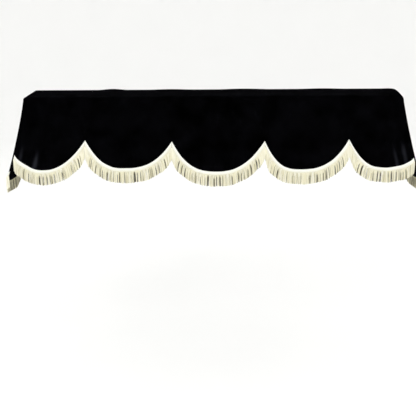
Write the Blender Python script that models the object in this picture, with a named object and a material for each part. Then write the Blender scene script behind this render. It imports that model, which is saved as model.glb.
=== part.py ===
"""Fitted top cover: a hollow velvet hood with scalloped, fringed hems.

A flat top panel has four panels sewn round it. They roll over its edge and hang, flaring
outwards, with soft upright folds. The front hem has five scallops and each end hem has one,
all edged with a fringe; the back hem is straight.

Metres, +Z up. The origin is the middle of the top panel's underside and the front faces -Y.
A place on a wall is given by across, from -1 to 1 between its two corner seams, and by depth
below the top.
"""
import math

import bmesh
import bpy
import numpy as np

# Cloth and seams
CLOTH_THICKNESS = 0.002
SEAM_GAP = 0.0003

# Top of the hood, over the cloth
HALF_WIDTH = 0.713
HALF_DEPTH = 0.100

# Walls, in order round the hood. flare is how far a wall stands out from the top's edge at
# FLARE_DEPTH, and power shapes that curve. start and end are the wall's corners.
FLARE_DEPTH = 0.25
WALLS = {
    "front": {"out": (0, -1), "start": "front_left", "end": "front_right", "flare": 0.080, "power": 1.40},
    "right": {"out": (1, 0), "start": "front_right", "end": "back_right", "flare": 0.0515, "power": 1.10},
    "back": {"out": (0, 1), "start": "back_right", "end": "back_left", "flare": 0.010, "power": 1.00},
    "left": {"out": (-1, 0), "start": "back_left", "end": "front_left", "flare": 0.056, "power": 1.10},
}
WALL_ORDER = tuple(WALLS)

# Corners: radius of the roll over the top's edge, and radius in plan at the top and when the
# corner has opened out, CORNER_OPEN_DEPTH below it.
CORNER_OPEN_DEPTH = 0.20
CORNERS = {
    "front_left": {"roll": 0.009, "plan_top": 0.013, "plan_low": 0.036},
    "front_right": {"roll": 0.018, "plan_top": 0.024, "plan_low": 0.036},
    "back_right": {"roll": 0.014, "plan_top": 0.020, "plan_low": 0.040},
    "back_left": {"roll": 0.009, "plan_top": 0.013, "plan_low": 0.040},
}

# Hems: each starts at (across, depth). Each scallop row is (across and depth of the point where
# it ends, place of its lowest part between its ends, depth there, power of its curve before that
# part and after it). The end hems hang deeper at the front corners than the front hem does.
HEMS = {
    "front": {
        "fringed": True,
        "start": (-1.0, 0.206),
        "scallops": (
            (-0.650, 0.154, 0.50, 0.258, 1.9, 2.2),
            (-0.210, 0.160, 0.46, 0.252, 2.2, 3.0),
            (0.261, 0.160, 0.49, 0.265, 2.8, 2.3),
            (0.688, 0.155, 0.39, 0.259, 3.1, 2.5),
            (1.000, 0.223, 0.44, 0.254, 2.7, 2.4),
        ),
    },
    "right": {"fringed": True, "start": (-1.0, 0.266), "scallops": ((1.0, 0.224, 0.48, 0.308, 2.2, 2.2),)},
    "back": {"fringed": False, "start": (-1.0, 0.220), "scallops": ((1.0, 0.220, 0.50, 0.226, 2.0, 2.0),)},
    "left": {"fringed": True, "start": (-1.0, 0.224), "scallops": ((1.0, 0.262, 0.50, 0.312, 2.2, 2.2),)},
}

# Folds: soft upright flutes. Each row is (across, half width, height, depth where it starts,
# depth where it is full). A fold dies out at the wall's corner seams.
FOLD_SPAN = {"front": 0.745, "right": 0.125, "back": 0.735, "left": 0.125}
FOLD_END_POWER = 24
FOLDS = {
    "front": (
        (-0.865, 0.026, 0.0090, 0.10, 0.25),
        (-0.740, 0.045, -0.0040, 0.08, 0.25),
        (-0.420, 0.080, 0.0045, 0.06, 0.25),
        (-0.206, 0.050, -0.0030, 0.04, 0.20),
        (0.030, 0.090, 0.0050, 0.08, 0.26),
        (0.262, 0.055, -0.0035, 0.04, 0.20),
        (0.470, 0.080, 0.0040, 0.08, 0.25),
        (0.760, 0.040, -0.0040, 0.06, 0.25),
        (0.856, 0.024, 0.0080, 0.10, 0.25),
        (0.930, 0.020, 0.0055, 0.12, 0.25),
    ),
    "right": (
        (-0.350, 0.026, 0.0060, 0.08, 0.30),
        (0.300, 0.030, -0.0045, 0.06, 0.30),
    ),
    "back": (
        (-0.700, 0.060, 0.0040, 0.05, 0.22),
        (-0.250, 0.080, -0.0035, 0.05, 0.22),
        (0.150, 0.070, 0.0045, 0.05, 0.22),
        (0.620, 0.060, -0.0030, 0.05, 0.22),
    ),
    "left": (
        (0.380, 0.028, 0.0065, 0.08, 0.30),
        (-0.280, 0.030, -0.0045, 0.06, 0.30),
    ),
}

# Rucks: low lifts of the cloth on top, most along the back edge. Each row is (x, y, half
# length, half width, height). They fade out down the walls over RUCK_FADE.
RUCK_FADE = 0.030
RUCKS = (
    (-0.400, 0.100, 0.060, 0.060, 0.0040),
    (-0.170, 0.100, 0.090, 0.050, 0.0020),
    (0.120, 0.100, 0.110, 0.050, 0.0025),
    (0.430, 0.100, 0.100, 0.060, 0.0020),
    (0.700, 0.000, 0.070, 0.105, 0.0090),
)

# Fringe: a header tape along the hem and the locks that hang from it. A tape stops a little
# short of its ends, and further short of the hood's corners, where the next drop passes below.
HEADER_WIDTH = 0.012
HEADER_THICKNESS = 0.0016
HEADER_GAP = 0.0008
HEADER_END_TRIM = 0.0008
CORNER_TRIM = 0.0025
HEADER_OVER_HEM = 0.001
LOCK_PITCH = 0.0085
LOCK_GAP = 0.0012
LOCK_LENGTH = 0.043
LOCK_TAPER = 0.0005
LOCK_UNEVEN = 0.0018
LOCK_LEAN = 0.25
LEAN_ROOM = 0.030
STEEPEST = 1.6

# How finely the cloth is divided
SCALLOP_COLUMNS = 18
END_COLUMNS = 26
ROLL_ROWS = 3
DROP_ROWS = 8
TOP_COLUMNS = 36
TOP_ROWS = 8

VELVET = {"name": "black_velvet", "colour": (0.003, 0.003, 0.004), "roughness": 0.95}
FRINGE_YARN = {"name": "cream_fringe_yarn", "colour": (0.84, 0.79, 0.62), "roughness": 0.75}


def clear_scene():
    for item in list(bpy.data.objects):
        bpy.data.objects.remove(item, do_unlink=True)


def make_material(finish):
    material = bpy.data.materials.new(finish["name"])
    material.use_nodes = True
    shader = material.node_tree.nodes["Principled BSDF"]
    shader.inputs["Base Color"].default_value = (*finish["colour"], 1.0)
    shader.inputs["Roughness"].default_value = finish["roughness"]
    shader.inputs["Metallic"].default_value = 0.0
    return material


def smooth_step(value):
    """0 below 0, 1 above 1 and an S curve between them."""
    value = np.clip(value, 0.0, 1.0)
    return value * value * (3.0 - 2.0 * value)


def reach(wall, depth):
    """Distance of a wall from the middle of the hood at a depth, before folds."""
    half = HALF_DEPTH if wall in ("front", "back") else HALF_WIDTH
    row = WALLS[wall]
    return half + row["flare"] * (np.maximum(depth, 0.0) / FLARE_DEPTH) ** row["power"]


def plan_radius(corner, depth):
    row = CORNERS[corner]
    opened = np.clip(depth / CORNER_OPEN_DEPTH, 0.0, 1.0)
    return row["plan_top"] + (row["plan_low"] - row["plan_top"]) * opened


def roll_radius(wall, across):
    """Radius of the roll over the top's edge, blended between the wall's two corners."""
    start = CORNERS[WALLS[wall]["start"]]["roll"]
    end = CORNERS[WALLS[wall]["end"]]["roll"]
    return start + (end - start) * (across + 1.0) / 2.0


def fold_height(wall, across, depth):
    """Sum of bell-shaped flutes, each growing from its start depth to its full depth."""
    height = np.zeros(np.broadcast(across, depth).shape)
    for centre, half_width, full, starts, ends in FOLDS[wall]:
        bell = np.exp(-(((across - centre) * FOLD_SPAN[wall] / half_width) ** 2))
        height = height + full * bell * smooth_step((depth - starts) / (ends - starts))
    return height * np.maximum(1.0 - np.abs(across) ** FOLD_END_POWER, 0.0)


def ruck_height(x, y):
    """Sum of low domes, each of them zero outside its own ellipse."""
    height = np.zeros(np.broadcast(x, y).shape)
    for centre_x, centre_y, half_length, half_width, full in RUCKS:
        square = ((x - centre_x) / half_length) ** 2 + ((y - centre_y) / half_width) ** 2
        height = height + full * np.maximum(1.0 - square, 0.0) ** 2
    return height


def wall_run(wall, depth, inset):
    """Where the straight stretch of a wall starts and ends, and its two plan radii."""
    index = WALL_ORDER.index(wall)
    before = WALL_ORDER[index - 1]
    after = WALL_ORDER[(index + 1) % len(WALL_ORDER)]
    start_radius = plan_radius(WALLS[wall]["start"], depth) - inset
    end_radius = plan_radius(WALLS[wall]["end"], depth) - inset
    low = -(reach(before, depth) - inset) + start_radius
    high = reach(after, depth) - inset - end_radius
    return low, high, start_radius, end_radius


def wall_point(wall, across, depth, inset=0.0):
    """Outer face of the cloth: a rounded rectangle in plan, wider at each depth, plus folds."""
    across, depth = np.broadcast_arrays(np.asarray(across, float), np.asarray(depth, float))
    low, high, start_radius, end_radius = wall_run(wall, depth, inset)
    length = high - low + (start_radius + end_radius) * math.pi / 4
    along = low - start_radius * math.pi / 4 + (across + 1.0) / 2.0 * length
    start_turn = np.maximum(low - along, 0.0) / start_radius
    end_turn = np.maximum(along - high, 0.0) / end_radius
    sideways = np.clip(along, low, high)
    sideways = sideways - start_radius * np.sin(start_turn) + end_radius * np.sin(end_turn)
    outwards = reach(wall, depth) - inset
    outwards = outwards - start_radius * (1.0 - np.cos(start_turn)) - end_radius * (1.0 - np.cos(end_turn))
    turn = end_turn - start_turn
    fold = fold_height(wall, across, depth)
    sideways = sideways + fold * np.sin(turn)
    outwards = outwards + fold * np.cos(turn)
    out_x, out_y = WALLS[wall]["out"]
    x = outwards * out_x - sideways * out_y
    y = outwards * out_y + sideways * out_x
    lift = ruck_height(x, y) * np.maximum(1.0 - depth / RUCK_FADE, 0.0)
    return np.stack([x, y, CLOTH_THICKNESS - depth + lift], axis=-1)


def hem_points(wall):
    """Places of the hem's points, where its scallops start and end."""
    return np.array([HEMS[wall]["start"][0], *[row[0] for row in HEMS[wall]["scallops"]]])


def hem_depth(wall, across):
    """Depth of the hem line: between two points it sags by 1 - |q| ** power, q = +-1 there."""
    rows = np.array(HEMS[wall]["scallops"])
    points = np.array([HEMS[wall]["start"], *rows[:, :2]])
    index = np.clip(np.searchsorted(points[:, 0], across, side="right") - 1, 0, len(rows) - 1)
    left_across, left_depth = np.moveaxis(points[index], -1, 0)
    right_across, right_depth, place, low_depth, power_before, power_after = np.moveaxis(rows[index], -1, 0)
    part = (across - left_across) / (right_across - left_across) - place
    reached = np.where(part < 0, -part / place, part / (1.0 - place))
    power = np.where(part < 0, power_before, power_after)
    side_depth = np.where(part < 0, left_depth, right_depth)
    return side_depth + (low_depth - side_depth) * (1.0 - np.clip(reached, 0.0, 1.0) ** power)


def hem_slope(wall, across):
    """Fall of the hem line for each metre along the wall, limited to what the tape can follow."""
    step = 0.0005
    points = hem_points(wall)
    inside = np.clip(across, points[0] + step, points[-1] - step)
    for point in points[1:-1]:
        near = np.abs(inside - point) < step
        inside = np.where(near, point + np.where(across < point, -step, step), inside)
    rise = hem_depth(wall, inside + step / 2) - hem_depth(wall, inside - step / 2)
    slope = rise / (step * FOLD_SPAN[wall])
    return np.clip(slope, -STEEPEST, STEEPEST)


def header_low_depth(wall, across):
    """Depth of the tape's lower edge, straight below its upper edge, so that tapes mitre."""
    return hem_depth(wall, across) + HEADER_WIDTH * np.sqrt(1.0 + hem_slope(wall, across) ** 2)


def cloth_depth(wall, across):
    """Depth of the cloth's own hem, which a fringed wall hides behind the tape."""
    if HEMS[wall]["fringed"]:
        return header_low_depth(wall, across) - HEADER_OVER_HEM
    return hem_depth(wall, across)


def sheet_point(wall, across, row):
    """Row 0 to 1 rolls over the top's edge, and row 1 to 2 goes from there to the hem."""
    roll = roll_radius(wall, across)
    angle = np.minimum(row, 1.0) * math.pi / 2
    fall = np.maximum(row - 1.0, 0.0) * (cloth_depth(wall, across) - roll)
    depth = roll * (1.0 - np.cos(angle)) + fall
    return wall_point(wall, across, depth, roll * (1.0 - np.sin(angle)))


def unit(vectors):
    return vectors / np.linalg.norm(vectors, axis=-1, keepdims=True)


def sheet_normal(wall, across, row):
    step = 1e-4
    along = sheet_point(wall, across + step, row) - sheet_point(wall, across - step, row)
    down = sheet_point(wall, across, row + step) - sheet_point(wall, across, row - step)
    return unit(np.cross(down, along))


def wall_normal(wall, across, depth):
    step = 1e-4
    along = wall_point(wall, across + step, depth) - wall_point(wall, across - step, depth)
    down = wall_point(wall, across, depth + step) - wall_point(wall, across, depth - step)
    return unit(np.cross(down, along))


def wall_columns(wall):
    """Places of a panel's columns, with one at each point of its hem, and half a gap short."""
    if wall == "back":
        columns = np.linspace(-1.0, 1.0, TOP_COLUMNS + 1)
    elif wall == "front":
        points = hem_points(wall)
        pieces = [
            np.linspace(start, end, SCALLOP_COLUMNS, endpoint=False)
            for start, end in zip(points[:-1], points[1:])
        ]
        columns = np.concatenate([*pieces, [1.0]])
    else:
        columns = np.linspace(-1.0, 1.0, END_COLUMNS + 1)
    trim = SEAM_GAP / 2 / FOLD_SPAN[wall]
    columns[0] += trim
    columns[-1] -= trim
    return columns


def wall_rows(wall, columns):
    """Rows down a panel. The first stands half a gap outside the seam with the top."""
    first = np.arcsin(SEAM_GAP / 2 / roll_radius(wall, columns)) / (math.pi / 2)
    rolled = np.linspace(0.0, 1.0, ROLL_ROWS + 1)
    hung = 1.0 + np.linspace(0.0, 1.0, DROP_ROWS + 1)[1:]
    rows = np.repeat(np.concatenate([rolled, hung])[:, None], len(columns), axis=1)
    rows[0] = first
    return rows


def grid_faces(rows, columns, offset, flip):
    """Quads over a grid of points numbered row by row from offset."""
    index = offset + np.arange(rows * columns).reshape(rows, columns)
    quads = np.stack([index[:-1, :-1], index[:-1, 1:], index[1:, 1:], index[1:, :-1]], axis=-1)
    quads = quads.reshape(-1, 4)
    return quads[:, ::-1] if flip else quads


def rim_faces(rows, columns, offset):
    """Quads that join the edges of two like grids, the second numbered from offset."""
    index = np.arange(rows * columns).reshape(rows, columns)
    loop = np.concatenate([index[0, :-1], index[:-1, -1], index[-1, :0:-1], index[:0:-1, 0]])
    after = np.roll(loop, -1)
    return np.stack([loop, loop + offset, after + offset, after], axis=-1)


def add_object(name, points, faces, material, smooth=True):
    mesh = bpy.data.meshes.new(name)
    mesh.from_pydata(np.asarray(points).tolist(), [], np.asarray(faces).tolist())
    shape = bmesh.new()
    shape.from_mesh(mesh)
    bmesh.ops.recalc_face_normals(shape, faces=shape.faces)
    shape.to_mesh(mesh)
    shape.free()
    mesh.materials.append(material)
    if smooth:
        mesh.shade_smooth()
        mesh.set_sharp_from_angle(angle=math.radians(50))
    item = bpy.data.objects.new(name, mesh)
    bpy.context.scene.collection.objects.link(item)
    return item


def add_sheet(name, outer, inner, material):
    """A closed sheet of cloth between an outer and an inner grid of points."""
    rows, columns = outer.shape[:2]
    count = rows * columns
    points = np.concatenate([outer.reshape(-1, 3), inner.reshape(-1, 3)])
    faces = np.concatenate([
        grid_faces(rows, columns, 0, False),
        grid_faces(rows, columns, count, True),
        rim_faces(rows, columns, count),
    ])
    return add_object(name, points, faces, material)


def add_wall_panel(name, wall, material):
    columns = wall_columns(wall)
    rows = wall_rows(wall, columns)
    across = np.broadcast_to(columns, rows.shape)
    outer = sheet_point(wall, across, rows)
    inner = outer - CLOTH_THICKNESS * sheet_normal(wall, across, rows)
    return add_sheet(name, outer, inner, material)


def top_edge(wall, count):
    """Edge of the top panel along one wall, half a gap inside the seam."""
    across = np.linspace(-1.0, 1.0, count + 1)
    roll = roll_radius(wall, across)
    return wall_point(wall, across, np.zeros(count + 1), roll + SEAM_GAP / 2)[:, :2]


def add_top_panel(name, material):
    """A Coons patch between the four edges, lifted by the rucks."""
    front = top_edge("front", TOP_COLUMNS)[None, :]
    back = top_edge("back", TOP_COLUMNS)[::-1][None, :]
    left = top_edge("left", TOP_ROWS)[::-1][:, None]
    right = top_edge("right", TOP_ROWS)[:, None]
    u = np.linspace(0.0, 1.0, TOP_COLUMNS + 1)[None, :, None]
    v = np.linspace(0.0, 1.0, TOP_ROWS + 1)[:, None, None]
    ruled = (1 - v) * front + v * back + (1 - u) * left + u * right
    corners = (1 - u) * (1 - v) * front[:, :1] + u * (1 - v) * front[:, -1:]
    corners = corners + (1 - u) * v * back[:, :1] + u * v * back[:, -1:]
    flat = ruled - corners
    lift = ruck_height(flat[..., 0], flat[..., 1])
    outer = np.concatenate([flat, (CLOTH_THICKNESS + lift)[..., None]], axis=-1)
    inner = outer - np.array([0.0, 0.0, CLOTH_THICKNESS])
    return add_sheet(name, outer, inner, material)


def on_cloth(wall, columns, across, depth):
    """A point on the panel's own facets, between its two nearest columns."""
    index = np.clip(np.searchsorted(columns, across) - 1, 0, len(columns) - 2)
    part = ((across - columns[index]) / (columns[index + 1] - columns[index]))[:, None]
    before = wall_point(wall, columns[index], depth)
    after = wall_point(wall, columns[index + 1], depth)
    return before + part * (after - before)


def end_trim(wall, across):
    """How far across the wall a tape stops short of an end, which may be a corner of the hood."""
    length = CORNER_TRIM if abs(across) == 1.0 else HEADER_END_TRIM
    return length / FOLD_SPAN[wall]


def lock_edges(start, end, count):
    """Left and right edge of each lock along a scallop, the outer two on its ends."""
    pitch = (end - start) / count
    gap = pitch * LOCK_GAP / LOCK_PITCH
    left = start + pitch * np.arange(count) + gap / 2
    right = left + pitch - gap
    left[0], right[-1] = start, end
    return np.stack([left, right], axis=-1).reshape(-1)


def lean_towards_point(wall, across, start, end):
    """How far a lock's tip leans along the wall, towards the nearer point of the hem."""
    slope = hem_slope(wall, across)
    from_end = np.minimum(across - start, end - across) * FOLD_SPAN[wall]
    room = np.clip(from_end / LEAN_ROOM, 0.0, 1.0)
    return -LOCK_LEAN * LOCK_LENGTH * slope / np.sqrt(1.0 + slope ** 2) * room


def fringe_faces(columns):
    """Faces of a comb whose columns hold six points: two above, two below and two at a tip.

    Odd stretches between columns are locks and even ones are gaps.
    """
    back_top, front_top, front_low, back_low, front_tip, back_tip = range(6)
    faces = [(back_top, front_top, front_low, back_low)]
    last = 6 * (columns - 1)
    faces.append((last + back_low, last + front_low, last + front_top, last + back_top))
    for column in range(columns - 1):
        here, there = 6 * column, 6 * (column + 1)
        faces.append((here + back_top, there + back_top, there + front_top, here + front_top))
        faces.append((here + front_top, there + front_top, there + front_low, here + front_low))
        faces.append((here + back_low, there + back_low, there + back_top, here + back_top))
        if column % 2:
            faces.append((here + front_low, there + front_low, there + back_low, here + back_low))
            continue
        faces.append((here + front_low, there + front_low, there + front_tip, here + front_tip))
        faces.append((here + back_tip, there + back_tip, there + back_low, here + back_low))
        faces.append((here + back_low, here + front_low, here + front_tip, here + back_tip))
        faces.append((there + back_tip, there + front_tip, there + front_low, there + back_low))
        faces.append((here + front_tip, there + front_tip, there + back_tip, here + back_tip))
    return faces


def add_fringe(name, wall, start, end, phase, material):
    """A header tape on the cloth's outer face, with locks hanging from its lower edge."""
    span = (end - start) * FOLD_SPAN[wall]
    count = round(span / LOCK_PITCH)
    across = lock_edges(start + end_trim(wall, start), end - end_trim(wall, end), count)
    cloth = wall_columns(wall)
    high = on_cloth(wall, cloth, across, hem_depth(wall, across))
    low = on_cloth(wall, cloth, across, header_low_depth(wall, across))
    high_out = wall_normal(wall, across, hem_depth(wall, across))
    low_out = wall_normal(wall, across, header_low_depth(wall, across))
    near, far = HEADER_GAP, HEADER_GAP + HEADER_THICKNESS
    back_low = low + near * low_out
    front_low = low + far * low_out
    level = low_out * np.array([1.0, 1.0, 0.0])
    along = unit(np.cross(np.array([0.0, 0.0, 1.0]), level))
    number = np.arange(count).repeat(2)
    uneven = LOCK_UNEVEN * (np.sin(2.4 * number + phase) + 0.6 * np.sin(5.1 * number + 2.0 * phase))
    taper = np.tile([1.0, -1.0], count) * LOCK_TAPER
    taper[0], taper[-1] = 0.0, 0.0
    fall = along * (lean_towards_point(wall, across, start, end) + taper)[:, None]
    fall[:, 2] = -(LOCK_LENGTH + uneven)
    column_points = [high + near * high_out, high + far * high_out, front_low, back_low,
                     front_low + fall, back_low + fall]
    points = np.stack(column_points, axis=1).reshape(-1, 3)
    return add_object(name, points, fringe_faces(2 * count), material, smooth=False)


def build():
    clear_scene()
    velvet = make_material(VELVET)
    yarn = make_material(FRINGE_YARN)
    add_top_panel("top_panel", velvet)
    add_wall_panel("front_panel", "front", velvet)
    add_wall_panel("right_side_panel", "right", velvet)
    add_wall_panel("back_panel", "back", velvet)
    add_wall_panel("left_side_panel", "left", velvet)
    points = hem_points("front")
    for number, (start, end) in enumerate(zip(points[:-1], points[1:]), start=1):
        add_fringe(f"front_fringe_{number}", "front", start, end, number, yarn)
    add_fringe("right_side_fringe", "right", -1.0, 1.0, 6, yarn)
    add_fringe("left_side_fringe", "left", -1.0, 1.0, 7, yarn)


build()
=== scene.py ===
"""Fitted top cover of black velvet with a cream yarn fringe, dressed for pictures.

The file is laid out as an add-on and is run as a script. It makes the cloth and the fringe as
fine surfaces over the plain solids of the frame, and sets a plain pale studio round them.

Metres, +Z up. The origin is the middle of the top panel's underside and the front faces -Y.
A place on a wall is given by across, from -1 to 1 between its two corner seams, and by depth
below the top.
"""
import math

import bpy
import numpy as np
from bpy.props import FloatProperty, FloatVectorProperty, IntProperty, PointerProperty
from mathutils import Matrix, Vector


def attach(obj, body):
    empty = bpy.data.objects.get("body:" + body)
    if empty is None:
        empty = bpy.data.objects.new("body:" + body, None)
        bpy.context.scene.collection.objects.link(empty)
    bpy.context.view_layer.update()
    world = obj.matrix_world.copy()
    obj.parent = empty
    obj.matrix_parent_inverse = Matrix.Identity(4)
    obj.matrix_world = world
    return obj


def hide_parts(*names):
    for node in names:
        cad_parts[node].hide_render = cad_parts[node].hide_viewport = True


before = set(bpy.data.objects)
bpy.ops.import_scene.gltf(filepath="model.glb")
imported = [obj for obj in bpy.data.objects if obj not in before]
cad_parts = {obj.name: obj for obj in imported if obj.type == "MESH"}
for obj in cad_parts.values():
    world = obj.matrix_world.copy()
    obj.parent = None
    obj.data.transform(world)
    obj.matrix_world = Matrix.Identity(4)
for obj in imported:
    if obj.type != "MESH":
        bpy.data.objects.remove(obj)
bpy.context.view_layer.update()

bl_info = {
    "name": "Fringed Top Cover",
    "version": (1, 0, 0),
    "blender": (4, 5, 0),
    "location": "View3D > Sidebar > Top Cover",
    "description": "Makes a velvet top cover with scalloped hems and a yarn fringe",
    "category": "Object",
}

# Seams and the top of the hood
SEAM_GAP = 0.0003
HALF_WIDTH = 0.713
HALF_DEPTH = 0.100

# Walls in order round the hood. flare is how far a wall stands out at FLARE_DEPTH.
FLARE_DEPTH = 0.25
WALLS = {
    "front": {"out": (0, -1), "start": "front_left", "end": "front_right", "flare": 0.080, "power": 1.40},
    "right": {"out": (1, 0), "start": "front_right", "end": "back_right", "flare": 0.0515, "power": 1.10},
    "back": {"out": (0, 1), "start": "back_right", "end": "back_left", "flare": 0.010, "power": 1.00},
    "left": {"out": (-1, 0), "start": "back_left", "end": "front_left", "flare": 0.056, "power": 1.10},
}
WALL_ORDER = tuple(WALLS)

# Corners: radius of the roll over the edge, and plan radius at the top and once opened out
CORNER_OPEN_DEPTH = 0.20
CORNERS = {
    "front_left": {"roll": 0.009, "plan_top": 0.013, "plan_low": 0.036},
    "front_right": {"roll": 0.018, "plan_top": 0.024, "plan_low": 0.036},
    "back_right": {"roll": 0.014, "plan_top": 0.020, "plan_low": 0.040},
    "back_left": {"roll": 0.009, "plan_top": 0.013, "plan_low": 0.040},
}

# Hems: start (across, depth), then for each scallop its end across and depth, the place and
# depth of its lowest part, and the power of its curve before that part and after it
HEMS = {
    "front": {
        "fringed": True,
        "start": (-1.0, 0.206),
        "scallops": (
            (-0.650, 0.154, 0.50, 0.258, 1.9, 2.2),
            (-0.210, 0.160, 0.46, 0.252, 2.2, 3.0),
            (0.261, 0.160, 0.49, 0.265, 2.8, 2.3),
            (0.688, 0.155, 0.39, 0.259, 3.1, 2.5),
            (1.000, 0.223, 0.44, 0.254, 2.7, 2.4),
        ),
    },
    "right": {"fringed": True, "start": (-1.0, 0.266), "scallops": ((1.0, 0.224, 0.48, 0.308, 2.2, 2.2),)},
    "back": {"fringed": False, "start": (-1.0, 0.220), "scallops": ((1.0, 0.220, 0.50, 0.226, 2.0, 2.0),)},
    "left": {"fringed": True, "start": (-1.0, 0.224), "scallops": ((1.0, 0.262, 0.50, 0.312, 2.2, 2.2),)},
}

# Folds: upright flutes as (across, half width, height, depth where it starts and is full)
WALL_HALF_LENGTH = {"front": 0.745, "right": 0.125, "back": 0.735, "left": 0.125}
FOLD_END_POWER = 24
FOLDS = {
    "front": (
        (-0.865, 0.026, 0.0090, 0.10, 0.25),
        (-0.740, 0.045, -0.0040, 0.08, 0.25),
        (-0.420, 0.080, 0.0045, 0.06, 0.25),
        (-0.206, 0.050, -0.0030, 0.04, 0.20),
        (0.030, 0.090, 0.0050, 0.08, 0.26),
        (0.262, 0.055, -0.0035, 0.04, 0.20),
        (0.470, 0.080, 0.0040, 0.08, 0.25),
        (0.760, 0.040, -0.0040, 0.06, 0.25),
        (0.856, 0.024, 0.0080, 0.10, 0.25),
        (0.930, 0.020, 0.0055, 0.12, 0.25),
    ),
    "right": ((-0.350, 0.026, 0.0060, 0.08, 0.30), (0.300, 0.030, -0.0045, 0.06, 0.30)),
    "back": (
        (-0.700, 0.060, 0.0040, 0.05, 0.22),
        (-0.250, 0.080, -0.0035, 0.05, 0.22),
        (0.150, 0.070, 0.0045, 0.05, 0.22),
        (0.620, 0.060, -0.0030, 0.05, 0.22),
    ),
    "left": ((0.380, 0.028, 0.0065, 0.08, 0.30), (-0.280, 0.030, -0.0045, 0.06, 0.30)),
}

# Creases: soft troughs and ridges from one place to another, as (along and depth of one end,
# along and depth of the other, half width, height), all in metres, along from the wall's middle
CREASES = {
    "front": (
        (-0.700, 0.020, -0.610, 0.150, 0.010, -0.0014),
        (-0.705, 0.030, -0.660, 0.190, 0.008, 0.0012),
        (-0.480, 0.120, -0.430, 0.040, 0.012, 0.0009),
        (-0.485, 0.145, -0.520, 0.060, 0.011, -0.0008),
        (-0.156, 0.150, -0.120, 0.050, 0.012, 0.0009),
        (-0.150, 0.150, -0.205, 0.070, 0.010, -0.0008),
        (0.060, 0.030, 0.120, 0.130, 0.014, -0.0007),
        (0.196, 0.150, 0.160, 0.045, 0.012, 0.0010),
        (0.198, 0.150, 0.250, 0.065, 0.010, -0.0008),
        (0.512, 0.145, 0.470, 0.060, 0.012, 0.0009),
        (0.515, 0.145, 0.560, 0.050, 0.010, -0.0010),
        (0.700, 0.025, 0.600, 0.140, 0.011, -0.0015),
        (0.710, 0.040, 0.650, 0.200, 0.008, 0.0014),
    ),
    "right": ((-0.100, 0.030, -0.030, 0.170, 0.008, -0.0012), (0.095, 0.030, 0.040, 0.150, 0.008, 0.0010)),
    "back": (
        (-0.690, 0.020, -0.600, 0.150, 0.012, -0.0012),
        (-0.330, 0.010, -0.300, 0.110, 0.010, 0.0008),
        (0.050, 0.015, 0.020, 0.120, 0.012, -0.0008),
        (0.380, 0.010, 0.410, 0.130, 0.010, 0.0008),
        (0.690, 0.020, 0.610, 0.160, 0.012, -0.0012),
    ),
    "left": ((0.100, 0.030, 0.035, 0.170, 0.008, -0.0012), (-0.095, 0.030, -0.040, 0.150, 0.008, 0.0010)),
}

# Rucks on top: (x, y, half length, half width, height), fading down the walls over RUCK_FADE.
# The last rows are shallow creases, long and thin, which lie along the cover.
RUCK_FADE = 0.030
RUCKS = (
    (-0.400, 0.100, 0.060, 0.060, 0.0040),
    (-0.170, 0.100, 0.090, 0.050, 0.0020),
    (0.120, 0.100, 0.110, 0.050, 0.0025),
    (0.430, 0.100, 0.100, 0.060, 0.0020),
    (0.700, 0.000, 0.070, 0.105, 0.0090),
    (-0.560, 0.030, 0.100, 0.016, 0.0010),
    (-0.250, -0.020, 0.140, 0.018, 0.0008),
    (0.060, 0.025, 0.120, 0.015, 0.0010),
    (0.330, -0.030, 0.150, 0.018, 0.0008),
    (0.560, 0.020, 0.060, 0.030, 0.0014),
)

# Painted highlights: soft upright grey streaks painted on the velvet where its folds catch the
# light, as (across, half width, strength, depth where it starts and is full). They run on down to the hem.
PAINTED_FOLD_HIGHLIGHTS = {
    "front": (
        (-0.962, 0.0080, 0.45, 0.160, 0.215),
        (-0.880, 0.0075, 0.75, 0.175, 0.240),
        (0.905, 0.0060, 0.50, 0.170, 0.235),
        (0.952, 0.0080, 0.50, 0.160, 0.215),
    ),
    "right": ((-0.350, 0.0090, 0.45, 0.140, 0.280), (0.450, 0.0080, 0.30, 0.150, 0.270)),
    "back": ((-0.700, 0.0110, 0.35, 0.100, 0.210), (0.150, 0.0120, 0.30, 0.110, 0.210)),
    "left": ((0.380, 0.0090, 0.45, 0.140, 0.280), (-0.450, 0.0080, 0.30, 0.150, 0.270)),
}

# Sewing: how cloth draws in at a seam and along the stitches of a turned hem, where points stand
# close to a seam, and the puckers under the top seam and ripples above the hem
SEAM_DIP = 0.0006
SEAM_DIP_WIDTH = 0.0022
SEAM_STEPS = (0.0006, 0.0014, 0.0026)
STITCHES_ABOVE_HEM = 0.018
STITCH_DIP = 0.0005
STITCH_DIP_WIDTH = 0.0025
PUCKER_HEIGHT = 0.00022
PUCKER_START = 0.010
PUCKER_FADE = 0.018
RIPPLE_HEIGHT = 0.0007
RIPPLE_FADE = 0.030
NORMAL_STEP = 1e-4

# Header tape of the fringe, and how far the tapes stop short of each other and of a corner
HEADER_WIDTH = 0.012
HEADER_THICKNESS = 0.0014
HEADER_GAP = 0.0004
HEADER_END_TRIM = 0.0003
CORNER_TRIM = 0.0022
HEADER_OVER_HEM = 0.001
STEEPEST = 1.6
RIB_PITCH = 0.0022
CORD_PITCH = 0.0016
TAPE_RELIEF = 0.00035

# The tape's section from its upper edge round to its back, as (part of its width, part of its
# thickness, share of the edge cords, share of the ribs)
TAPE_SECTION = (
    (0.00, 0.20, 0.2, 0.0),
    (0.03, 0.75, 0.6, 0.0),
    (0.13, 1.00, 1.0, 0.0),
    (0.24, 0.62, 0.2, 0.4),
    (0.40, 0.80, 0.0, 1.0),
    (0.60, 0.80, 0.0, 1.0),
    (0.76, 0.62, 0.2, 0.4),
    (0.87, 1.00, 1.0, 0.0),
    (0.97, 0.75, 0.6, 0.0),
    (1.00, 0.20, 0.2, 0.0),
    (0.80, 0.00, 0.0, 0.0),
    (0.20, 0.00, 0.0, 0.0),
)
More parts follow.
